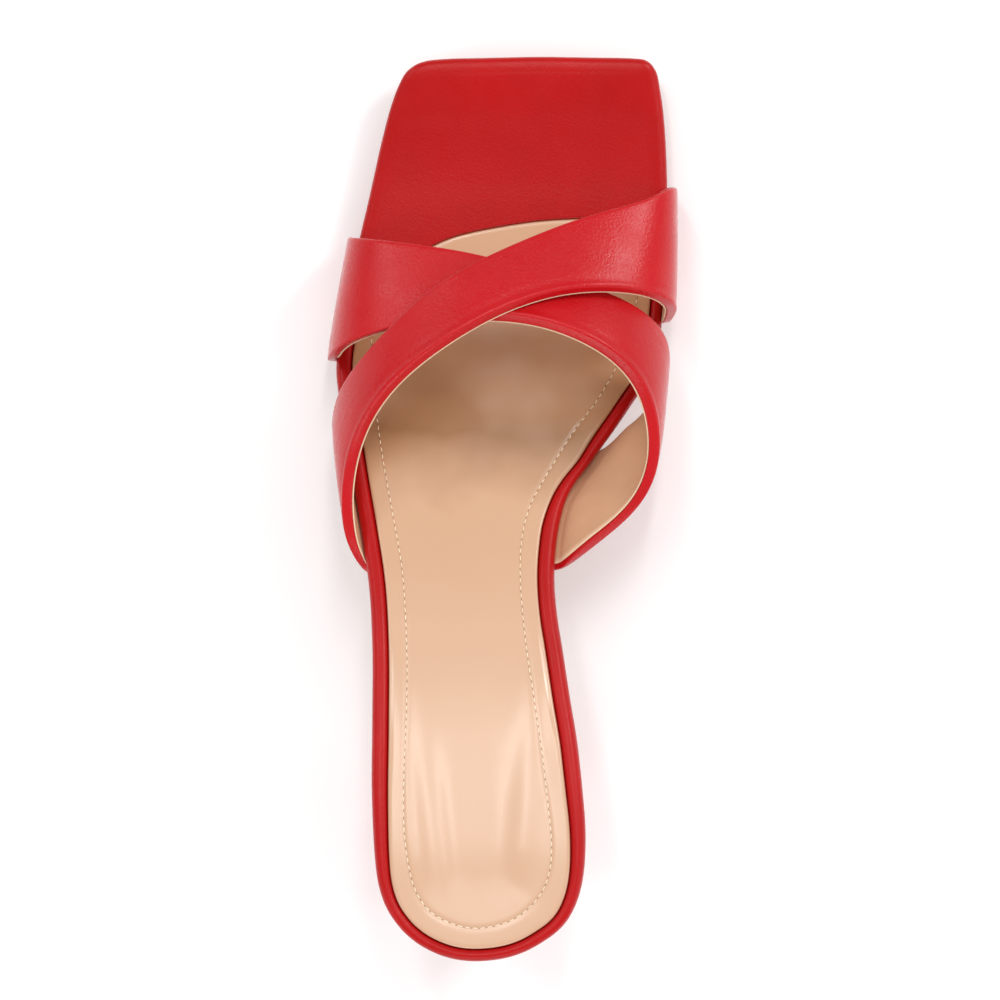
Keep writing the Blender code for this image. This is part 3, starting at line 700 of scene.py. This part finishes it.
dashes = repeat_along(stitch_line, PITCH, 0.0, DASH, THREAD, 0.10 * MM, 0.10)
finished("sock_stitches", dashes, thread_cream, None)
# Dark spots between the dashes are painted shade of the needle holes
holes = repeat_along(stitch_line, PITCH, 0.5 * PITCH, HOLE, HOLE_HALF, -0.01 * MM, 0.0)
finished("needle_holes", holes, painted_hole_shade, None)

# %% [markdown]
# ## The straps
# Each strap is foam between red leather and tan lining. The leather folds over both edges. At the
# edge towards the heel, the fold shows as a narrow side band below a crease, and the cream edge of
# the lining peeps out under it. The tables give the leather's outer face, row by row from one side
# of the foot to the other.

# %% Tables of the straps
# Toe-side edge x y h, heel-side edge x y h, swell: x a share of BALL, y of LENGTH, h and swell of
# THROAT
OVER_STRAP = [
    (0.578, 0.850, 0.237, 0.575, 0.707, 0.237, 0.008),
    (0.571, 0.850, 0.408, 0.574, 0.712, 0.434, 0.008),
    (0.542, 0.843, 0.540, 0.562, 0.719, 0.618, 0.008),
    (0.462, 0.830, 0.637, 0.504, 0.729, 0.776, 0.008),
    (0.364, 0.821, 0.712, 0.399, 0.734, 0.890, 0.005),
    (0.254, 0.808, 0.793, 0.277, 0.733, 0.975, 0.000),
    (0.139, 0.790, 0.861, 0.168, 0.724, 1.028, 0.000),
    (0.017, 0.770, 0.893, 0.064, 0.710, 1.044, 0.000),
    (-0.092, 0.749, 0.888, -0.029, 0.692, 1.033, 0.000),
    (-0.191, 0.723, 0.848, -0.116, 0.673, 0.991, 0.000),
    (-0.286, 0.688, 0.765, -0.201, 0.650, 0.917, 0.005),
    (-0.358, 0.659, 0.622, -0.277, 0.624, 0.796, 0.011),
    (-0.412, 0.635, 0.442, -0.338, 0.595, 0.637, 0.016),
    (-0.441, 0.615, 0.253, -0.388, 0.559, 0.437, 0.024),
    (-0.454, 0.600, 0.105, -0.415, 0.516, 0.268, 0.018),
    (-0.462, 0.585, 0.010, -0.421, 0.462, 0.116, 0.014),
]
UNDER_STRAP = [
    (-0.413, 0.795, 0.224, -0.470, 0.656, 0.197, 0.008),
    (-0.400, 0.794, 0.395, -0.458, 0.662, 0.368, 0.008),
    (-0.354, 0.792, 0.537, -0.423, 0.671, 0.542, 0.008),
    (-0.273, 0.788, 0.626, -0.347, 0.681, 0.685, 0.005),
    (-0.173, 0.783, 0.695, -0.254, 0.690, 0.788, 0.000),
    (-0.069, 0.777, 0.747, -0.145, 0.702, 0.870, 0.000),
    (0.035, 0.768, 0.789, -0.035, 0.704, 0.932, 0.000),
    (0.150, 0.757, 0.805, 0.081, 0.704, 0.963, 0.000),
    (0.266, 0.744, 0.800, 0.191, 0.698, 0.979, 0.000),
    (0.364, 0.732, 0.768, 0.289, 0.684, 0.958, 0.003),
    (0.446, 0.718, 0.695, 0.375, 0.667, 0.884, 0.008),
    (0.506, 0.703, 0.568, 0.442, 0.646, 0.784, 0.013),
    (0.552, 0.682, 0.389, 0.488, 0.622, 0.679, 0.016),
    (0.560, 0.656, 0.211, 0.517, 0.592, 0.563, 0.016),
    (0.544, 0.622, 0.060, 0.527, 0.558, 0.437, 0.018),
    (0.524, 0.605, -0.015, 0.515, 0.525, 0.321, 0.032),
    (0.497, 0.5935, -0.075, 0.476, 0.493, 0.211, 0.048),
    (0.470, 0.584, -0.118, 0.404, 0.467, 0.110, 0.050),
    (0.447, 0.577, -0.145, 0.324, 0.444, 0.010, 0.040),
]
# Ends round the footbed's edge: out (STRAP) and up (FOOTBED) at the toe side, the same at the
# heel side, thickness (STRAP), shift of the toe side and of the heel side (LENGTH)
SIDE_TURN = [
    (-3.000, -1.008, -3.000, -1.008, 0.40, 0.000, 0.000),
    (-1.500, -1.008, -1.500, -1.008, 0.43, 0.000, 0.000),
    (-0.533, -1.008, -0.533, -1.008, 0.50, 0.000, 0.000),
    (0.400, -0.871, 0.333, -0.871, 0.65, 0.000, 0.000),
    (0.800, -0.419, 0.667, -0.419, 0.72, 0.000, 0.000),
    (0.867, 0.419, 0.733, 0.419, 0.80, 0.000, 0.000),
]
WAIST_TURN = [
    (-3.000, -1.008, -3.000, -1.008, 0.40, 0.000, 0.000),
    (-1.500, -1.008, -1.500, -1.008, 0.43, 0.000, 0.000),
    (-0.533, -1.008, -0.400, -1.008, 0.53, 0.000, 0.003),
    (0.433, -0.887, 0.333, -0.887, 0.70, 0.000, 0.010),
    (1.033, -0.419, 0.967, -0.484, 0.85, 0.000, 0.024),
]
HAMMOCK_TURN = [
    (-3.000, -1.008, -3.000, -1.008, 0.40, -0.059, 0.000),
    (-1.500, -1.008, -1.500, -1.008, 0.43, -0.032, 0.000),
    (-0.533, -1.008, -0.467, -1.008, 0.53, -0.016, 0.002),
    (0.333, -1.032, 0.633, -0.903, 0.62, -0.001, 0.005),
    (1.067, -1.032, 1.633, -0.613, 0.84, 0.019, 0.012),
]
BALL_INNER, BALL_OUTER = (0.850, 0.700), (0.795, 0.655)
WAIST_OUTER, WAIST_INNER = (0.570, 0.410), (0.559, 0.416)
ACROSS = 6
ALONG_PARTS = 9
EVEN_PASSES = 70


# %% Rows of a strap
def edge_at(side, y):
    ahead = np.roll(OUTLINE, -1, axis=0)
    crossing = (OUTLINE[:, 0] * side > 0) & ((OUTLINE[:, 1] - y) * (ahead[:, 1] - y) <= 0)
    k = int(np.argmax(crossing & (OUTLINE[:, 1] != ahead[:, 1])))
    a, b = OUTLINE[k], ahead[k]
    along = (b - a) / np.linalg.norm(b - a)
    return a + (b - a) * (y - a[1]) / (b[1] - a[1]), np.array([-along[1], along[0]])


def turn_rows(turn, side, toe, heel):
    rows, shares = [], []
    for out_toe, up_toe, out_heel, up_heel, share, toe_moved, heel_moved in turn:
        row = []
        for t in np.linspace(0, 1, ACROSS + 1):
            y = (toe + toe_moved) * (1 - t) + (heel + heel_moved) * t
            point, away = edge_at(side, y * LENGTH)
            flat = point + away * (out_toe + (out_heel - out_toe) * t) * STRAP
            high = underside(flat[1]) + TOP_SURFACE + (up_toe + (up_heel - up_toe) * t) * FOOTBED
            row.append((*flat, high))
        rows.append(row)
        shares.append(share)
    return rows, shares


def evened(face):
    """Rows smoothed along the strap, all but those under the footbed."""
    k = np.arange(len(face))
    from_end = np.minimum(k, len(face) - 1 - k)
    share = smooth_step((from_end - 3 * ALONG_PARTS) / ALONG_PARTS)[1:-1, None, None]
    for _ in range(EVEN_PASSES):
        face[1:-1] += share * (face[2:] - 2 * face[1:-1] + face[:-2]) / 4
    return face


def strap_rows(table, turns, ends):
    """Outer face as rows of points, first end to last, and the thickness of each row."""
    rows, shares = turn_rows(turns[0], *ends[0])
    t = np.linspace(0, 1, ACROSS + 1)[:, None]
    for fx, fy, fh, bx, by, bh, swell in table:
        edges = []
        for x, y, h in ((fx, fy, fh), (bx, by, bh)):
            high = underside(y * LENGTH) + TOP_SURFACE + h * THROAT
            edges.append(np.array([x * BALL, y * LENGTH, high]))
        row = edges[0] + (edges[1] - edges[0]) * t
        out = np.array([row[:, 0].mean() - 0.06 * BALL, 0.0, 0.6 * THROAT])
        rows.append(row + out / np.linalg.norm(out) * 4 * t * (1 - t) * swell * THROAT)
        shares.append(1.0)
    last, last_shares = turn_rows(turns[1], *ends[1])
    rows, shares = rows + last[::-1], shares + last_shares[::-1]
    face = evened(fair(np.array([np.array(row) for row in rows]), ALONG_PARTS))
    return face, fair(np.array(shares)[:, None], ALONG_PARTS)[:, 0] * STRAP


# %% [markdown]
# A section of the strap is a closed line round it. `s` runs from the toe-side edge to the heel-side
# edge along the face, and `d` goes down into the strap. Both are in millimetres for a strap at its
# full thickness, and shrink where the end thins out under the footbed. The leather has a small roll
# just before the crease, which is what catches the light along the throat of the shoe.

# %% Sections of leather and lining
FACE_STEPS = 34
FULL_WALL = 3.0
LEATHER_UNDER, LINING_TOP = 2.55, 2.62
# The small roll and the trough behind it: height, distance from the edge, half width, in mm
ROLL, TROUGH = (0.12, 1.1, 0.5), (0.06, 2.6, 1.0)
TOE_FOLD = [(0.75, 2.58), (0.30, 2.52), (0.05, 2.25), (-0.06, 1.70), (-0.08, 1.10), (-0.02, 0.60),
            (0.14, 0.26), (0.42, 0.06)]
HEEL_FOLD = [(-0.62, 0.01), (-0.42, 0.12), (-0.27, 0.32), (-0.10, 0.66), (0.10, 1.12), (0.30, 1.65),
             (0.46, 2.15), (0.49, 2.40), (0.34, 2.57), (-0.25, 2.58)]
TOE_LINING = [(1.20, 2.62), (0.95, 2.62), (0.85, 2.80), (0.95, 2.97), (1.30, 3.00)]
HEEL_LINING = [(0.20, 3.00), (0.46, 2.97), (0.57, 2.83), (0.50, 2.68), (0.15, 2.62)]


def strap_frame(face):
    """Outward direction and edgeways direction at each point of the face."""
    along, over = np.gradient(face, axis=0), np.gradient(face, axis=1)
    facing = np.cross(over, along)
    facing /= np.linalg.norm(facing, axis=2)[:, :, None]
    if facing[len(face) // 2, ACROSS // 2, 2] < 0:
        facing = -facing
    return facing, over / np.linalg.norm(over, axis=2)[:, :, None]


def lines_on(face, facing, shares):
    """Points and outward directions at these shares across one row."""
    at, known = shares * ACROSS, np.arange(ACROSS + 1)
    return [np.stack([np.interp(at, known, part[:, k]) for k in range(3)], axis=1)
            for part in (face, facing)]


def fold(face, facing, edgeways, at, table, unit):
    return [face[at] + (edgeways[at] * s - facing[at] * d) * unit for s, d in table]


def swell_at(distance, high, middle, half):
    return high * np.exp(-((distance - middle) / half) ** 2)


def section_ring(face, facing, edgeways, wall, roll, lean):
    """Closed line round one row of leather, whose heel fold leans back by `lean` per depth."""
    unit = wall / FULL_WALL
    width = np.linalg.norm(face[-1] - face[0])
    first, last = min(0.9 * MM / width, 0.2), 1 - min(0.95 * MM / width, 0.2)
    shares = np.linspace(first, last, FACE_STEPS + 1)
    points, outward = lines_on(face, facing, shares)
    near_heel = (1 - shares) * width / MM
    rolled_up = roll * (swell_at(near_heel, *ROLL) - swell_at(near_heel, *TROUGH))
    points_2, outward_2 = lines_on(face, facing, np.linspace(0.94, 0.06, FACE_STEPS + 1))
    toe = fold(face, facing, edgeways, 0, TOE_FOLD, unit)
    leaning = [(s - lean * d, d) for s, d in HEEL_FOLD]
    heel = fold(face, facing, edgeways, -1, leaning, unit)
    return np.concatenate([toe, points + outward * rolled_up[:, None] * unit, heel,
                           points_2 - outward_2 * LEATHER_UNDER * unit])


def lining_ring(face, facing, edgeways, wall, back):
    """Closed line round the lining, which lies under the foam and ends `back` before the edge."""
    unit = wall / FULL_WALL
    width = np.linalg.norm(face[-1] - face[0])
    shares = np.linspace(0.06, 1 - min(0.06 + back / width, 0.5), FACE_STEPS + 1)
    points, outward = lines_on(face, facing, shares)
    table = [(s - back / unit, d) for s, d in HEEL_LINING]
    toe = fold(face, facing, edgeways, 0, TOE_LINING, unit)
    heel = fold(face, facing, edgeways, -1, table, unit)
    return np.concatenate([points - outward * LINING_TOP * unit, heel[::-1],
                           (points - outward * FULL_WALL * unit)[::-1], toe[::-1]])


def closed_tube(rings):
    whole = rolled(rings)
    bmesh.ops.remove_doubles(whole, verts=whole.verts, dist=MERGE)
    rims = [edge for edge in whole.edges if edge.is_boundary]
    bmesh.ops.holes_fill(whole, edges=rims, sides=0)
    bmesh.ops.recalc_face_normals(whole, faces=whole.faces)
    return whole


HIDDEN_FROM, HIDDEN_LEAN = 0.44, 0.62
OPEN_LEAN, OPEN_BACK = 0.18, 0.45 * MM


def strap_pieces(name, table, turns, ends, back_at_end):
    """Leather and lining of a strap. `back_at_end` is how far the lining of the under strap,
    which the over strap hides at its first end, stays back from the heel-side edge."""
    face, thick = strap_rows(table, turns, ends)
    facing, edgeways = strap_frame(face)
    skin, lining = [], []
    for k in range(len(face)):
        part = (face[k], facing[k], edgeways[k], thick[k])
        hidden = smooth_step((HIDDEN_FROM - k / len(face)) / 0.12) if back_at_end else 0.0
        lift = smooth_step(min(k, len(face) - 1 - k) / (5 * ALONG_PARTS)) * (1 - hidden)
        lean = HIDDEN_LEAN * hidden if back_at_end else OPEN_LEAN * lift
        skin.append(section_ring(*part, lift, lean))
        back = back_at_end * max(smooth_step((k / len(face) - 0.62) / 0.25), hidden)
        back = back if back_at_end else OPEN_BACK * lift
        lining.append(lining_ring(*part, back))
    skin, lining = closed_tube(np.array(skin)), closed_tube(np.array(lining))
    leather = finished(name + "_leather", skin, strap_red, "upper")
    finished(name + "_lining", lining, lining_tan, "upper")
    return leather


over_leather = strap_pieces(
    "over_strap", OVER_STRAP, (SIDE_TURN, WAIST_TURN), ((1, *BALL_INNER), (-1, *WAIST_OUTER)), 0.0
)
under_leather = strap_pieces(
    "under_strap", UNDER_STRAP, (SIDE_TURN, HAMMOCK_TURN), ((-1, *BALL_OUTER), (1, *WAIST_INNER)),
    1.6 * MM,
)

# %% [markdown]
# ## The outsole
# The hidden outsole is thin rubber cut a little smaller than the footbed. Its edge is rounded, and
# fine grooves cross it under the ball, inside a plain border, as on most dress shoes.

# %% Outsole
SOLE_RINGS = [
    (5.00, 2.80), (0.60, 2.80), (0.15, 2.65), (-0.10, 2.20), (-0.20, 1.50), (-0.10, 0.80),
    (0.15, 0.25), (0.45, 0.04), (0.90, 0.00),
]
SOLE_GRID = (330, 60)
TREAD_FROM, TREAD_TO = 0.62, 0.95
TREAD_PITCH = 3.2 * MM
TREAD_DEPTH, TREAD_BOW = 0.45 * MM, 0.10
PLAIN_BORDER = 5.5 * MM
BORDER_LINE, BORDER_DEPTH, BORDER_HALF = 4.0 * MM, 0.35 * MM, 0.5 * MM
sole_rails, sole_ends = eased(SOLE_GRID[0], 0.1), eased(SOLE_GRID[1], 0.4)
sole_rings = []
for by, high in SOLE_RINGS:
    loop = inset(OUTLINE, OUTSOLE_INSET + by * MM)
    flat = ring_on(loop, CORNER_IDS, sole_rails, sole_rails, sole_ends)
    sole_rings.append(np.column_stack([flat, underside(flat[:, 1]) + high * MM]))
sole_rings = np.array(sole_rings)
print("rings of the outsole:", len(sole_rings))

# %% Tread
tread = cap(sole_rings[-1], SOLE_GRID, sole_rails, sole_ends)
share = tread[:, :, 1] / LENGTH
rim_line = inset(OUTLINE, OUTSOLE_INSET)
from_edge = distance_to(tread[:, :, :2], np.concatenate([rim_line, rim_line[:1]])[::4])
inside = smooth_step((from_edge - PLAIN_BORDER) / (0.8 * MM))
inside *= smooth_step((share - TREAD_FROM) / 0.004) * smooth_step((TREAD_TO - share) / 0.004)
wave = np.cos(2 * np.pi * (tread[:, :, 1] + TREAD_BOW * np.abs(tread[:, :, 0])) / TREAD_PITCH)
grooves = TREAD_DEPTH * inside * smooth_step((wave - 0.25) / 0.5)
border = BORDER_DEPTH * np.exp(-(((from_edge - BORDER_LINE) / BORDER_HALF) ** 2))
tread[inner][..., 2] = (underside(tread[:, :, 1]) + grooves + border)[inner]
sole_top = cap(sole_rings[0], SOLE_GRID, sole_rails, sole_ends)
sole_top[inner][..., 2] = underside(sole_top[inner][..., 1]) + SOLE_RINGS[0][1] * MM
sole = closed_body(sole_rings, tread, sole_top)
finished("outsole_rubber", sole, sole_tan, "outsole")

# %% [markdown]
# ## The heel and its top piece
# A covered heel is a moulded block with leather drawn round it and closed at the breast, which is
# its front face. The rings follow the seat's outline and draw in towards the floor. Two fine seams
# run down the corners of the breast. The rubber top piece, which a cobbler replaces, is below it.

# %% Heel block
# Share of the way down, width share, toe side and back as shares of LENGTH
HEEL_LEVELS = [
    (0.00, 1.00, 0.245, 0.012), (0.15, 0.93, 0.228, 0.017), (0.40, 0.83, 0.205, 0.026),
    (0.70, 0.75, 0.190, 0.034), (1.00, 0.71, 0.182, 0.040),
]
HEEL_GRID = (44, 40)
HEEL_INSET = 0.4 * MM
HEEL_FOOT = TOP_PIECE + GAP
BREAST_HOLLOW, BREAST_STEPS = 1.6 * MM, 40
SEAM_DEPTH, SEAM_HALF = 0.010, 0.8


def seat_outline():
    edge = inset(OUTLINE, OUTSOLE_INSET + HEEL_INSET)
    kept = edge[edge[:, 1] < HEEL_LEVELS[0][2] * LENGTH]
    turn = int(np.argmax(np.linalg.norm(kept - np.roll(kept, 1, axis=0), axis=1)))
    kept = np.roll(kept, -turn, axis=0)
    breast = along_line(np.array([kept[-1], kept[0]]), np.linspace(0, 1, BREAST_STEPS + 1))
    breast[:, 1] -= BREAST_HOLLOW * np.sin(np.linspace(0, np.pi, BREAST_STEPS + 1))
    loop = np.concatenate([kept, breast[1:-1]])
    heel_outer = int(np.argmin(np.linalg.norm(kept - edge[CORNER_IDS[0]], axis=1)))
    loop = np.roll(loop, -heel_outer, axis=0)
    last = len(kept) - 1 - heel_outer
    heel_inner = int(np.argmin(np.linalg.norm(loop - edge[CORNER_IDS[3]], axis=1)))
    return loop, [0, last, last + BREAST_STEPS, heel_inner]


heel_loop, heel_ids = seat_outline()
heel_rails, heel_ends = eased(HEEL_GRID[0], 0.2), eased(HEEL_GRID[1], 0.3)
heel_ring_0 = ring_on(heel_loop, heel_ids, heel_rails, heel_rails, heel_ends)
back_y, front_y = heel_ring_0[:, 1].min(), heel_ring_0[:, 1].max()
y_share = (heel_ring_0[:, 1] - back_y) / (front_y - back_y)
corner_at = (HEEL_GRID[0], HEEL_GRID[0] + HEEL_GRID[1])
seam_dip = sum(np.exp(-(((np.arange(len(y_share)) - at) / SEAM_HALF) ** 2)) for at in corner_at)


def heel_ring(down, width, toe_y, heel_y):
    y = (heel_y + (toe_y - heel_y) * y_share) * LENGTH
    flat = np.stack([heel_ring_0[:, 0] * width, y], axis=1)
    middle = flat.mean(axis=0)
    flat = flat - (flat - middle) * (SEAM_DEPTH * seam_dip)[:, None]
    top = underside(flat[:, 1]) - GAP
    return np.column_stack([flat, top + (HEEL_FOOT - top) * down])


heel_rings = np.array([heel_ring(*level) for level in fair(HEEL_LEVELS, 10)])
heel_top = cap(heel_rings[0], HEEL_GRID, heel_rails, heel_ends)
heel_top[inner][..., 2] = underside(heel_top[inner][..., 1]) - GAP
heel_foot = cap(heel_rings[-1], HEEL_GRID, heel_rails, heel_ends)
# Edges that turn by more than this angle, in radians, stay sharp
CREASE = 0.7
heel_mesh = closed_body(heel_rings, heel_top, heel_foot)
heel_cover = finished("heel_cover", heel_mesh, heel_red, "heel")
heel_cover.data.set_sharp_from_angle(angle=CREASE)

# %% Top piece
# Width as a share of the heel's foot, and height in mm
TIP_LEVELS = [(0.98, 4.0), (1.0, 3.8), (1.0, 0.7), (0.985, 0.25), (0.965, 0.05), (0.94, 0.0)]
tip = heel_rings[-1][:, :2]
tip_middle = tip.mean(axis=0)
tip_rings = np.array([
    np.column_stack([tip_middle + (tip - tip_middle) * wide, np.full(len(tip), high * MM)])
    for wide, high in TIP_LEVELS
])
tip_top = cap(tip_rings[0], HEEL_GRID, heel_rails, heel_ends)
tip_foot = cap(tip_rings[-1], HEEL_GRID, heel_rails, heel_ends)
tip_mesh = closed_body(tip_rings, tip_top, tip_foot)
finished("heel_top_rubber", tip_mesh, piece_black, "top_piece")

# %% [markdown]
# ## Floor, light and camera
# The shoe stands on a plain pale floor in soft studio light. A sky of even white fills the
# shadows. Two panels beyond the toe and one behind the heel shape the leather, two more light the
# sides, and two narrow strips over the toe draw the fine gleams along the straps. The camera looks
# straight down from 1.4 m, a little to the inner side, with a long lens.

# %% Floor
floor_mesh = bmesh.new()
bmesh.ops.create_grid(floor_mesh, x_segments=1, y_segments=1, size=3.0)
floor_data = bpy.data.meshes.new("floor")
floor_mesh.to_mesh(floor_data)
floor_mesh.free()
floor = bpy.data.objects.new("floor", floor_data)
bpy.context.scene.collection.objects.link(floor)
pale, pale_tree, pale_shader, pale_where = nodes_of("pale_floor", 0.9, 0.2)
PALE, PALER = (0.96, 0.96, 0.96), (0.98, 0.98, 0.98)
pale_tone = ramp(pale_tree, noise(pale_tree, pale_where, 3.0), [(0.3, PALE), (0.7, PALER)])
pale_tree.links.new(pale_tone, pale_shader.inputs["Base Color"])
floor_data.materials.append(pale)

# %% Light
world = bpy.data.worlds.new("studio")
bpy.context.scene.world = world
world.use_nodes = True
sky = world.node_tree.nodes["Background"]
sky.inputs["Color"].default_value = (1.0, 1.0, 1.0, 1)
sky.inputs["Strength"].default_value = 0.55
bpy.context.scene.view_settings.view_transform = "Standard"
SHOE, INSTEP = (0, 0, 0.03), (0, -0.05, 0.05)
# Name, place and target in metres, width and height, power in watts
LIGHTS = [
    ("inner_panel", (1.1, 0.95, 1.0), SHOE, (0.36, 0.45), 9.5),
    ("outer_panel", (-1.1, 0.85, 1.0), SHOE, (0.36, 0.45), 4.0),
    ("heel_panel", (0.0, -1.2, 0.8), SHOE, (1.2, 0.6), 8.0),
    ("inner_side", (1.3, -0.1, 0.8), SHOE, (0.4, 0.9), 3.2),
    ("outer_side", (-1.3, -0.5, 0.8), SHOE, (0.4, 0.9), 3.2),
    ("inner_strip", (0.14, 0.70, 1.45), INSTEP, (0.08, 0.74), 3.7),
    ("outer_strip", (-0.26, 0.70, 1.45), INSTEP, (0.08, 0.74), 3.7),
]


def soft_light(name, place, target, size, power):
    data = bpy.data.lights.new(name, "AREA")
    data.shape = "RECTANGLE"
    data.size, data.size_y = size
    data.energy = power
    lamp = bpy.data.objects.new(name, data)
    bpy.context.scene.collection.objects.link(lamp)
    lamp.location = place
    lamp.rotation_euler = (Vector(target) - Vector(place)).to_track_quat("-Z", "Y").to_euler()


for light in LIGHTS:
    soft_light(*light)
print("lights:", len(LIGHTS))

# %% Camera
EYE = Vector((0.0486, -0.0018, 1.4))
AIM = Vector((0.0, 0.0, 0.03))
camera_data = bpy.data.cameras.new("camera")
camera_data.sensor_width = 36.0
camera_data.lens = 192.0
camera = bpy.data.objects.new("camera", camera_data)
bpy.context.scene.collection.objects.link(camera)
look = (AIM - EYE).normalized()
across = look.cross(Vector((0, 1, 0))).normalized()
turned = Matrix((across, across.cross(look), -look)).transposed().to_4x4()
camera.matrix_world = Matrix.Translation(EYE) @ turned
bpy.context.scene.camera = camera

# %% [markdown]
# ## The end

print("scene built")
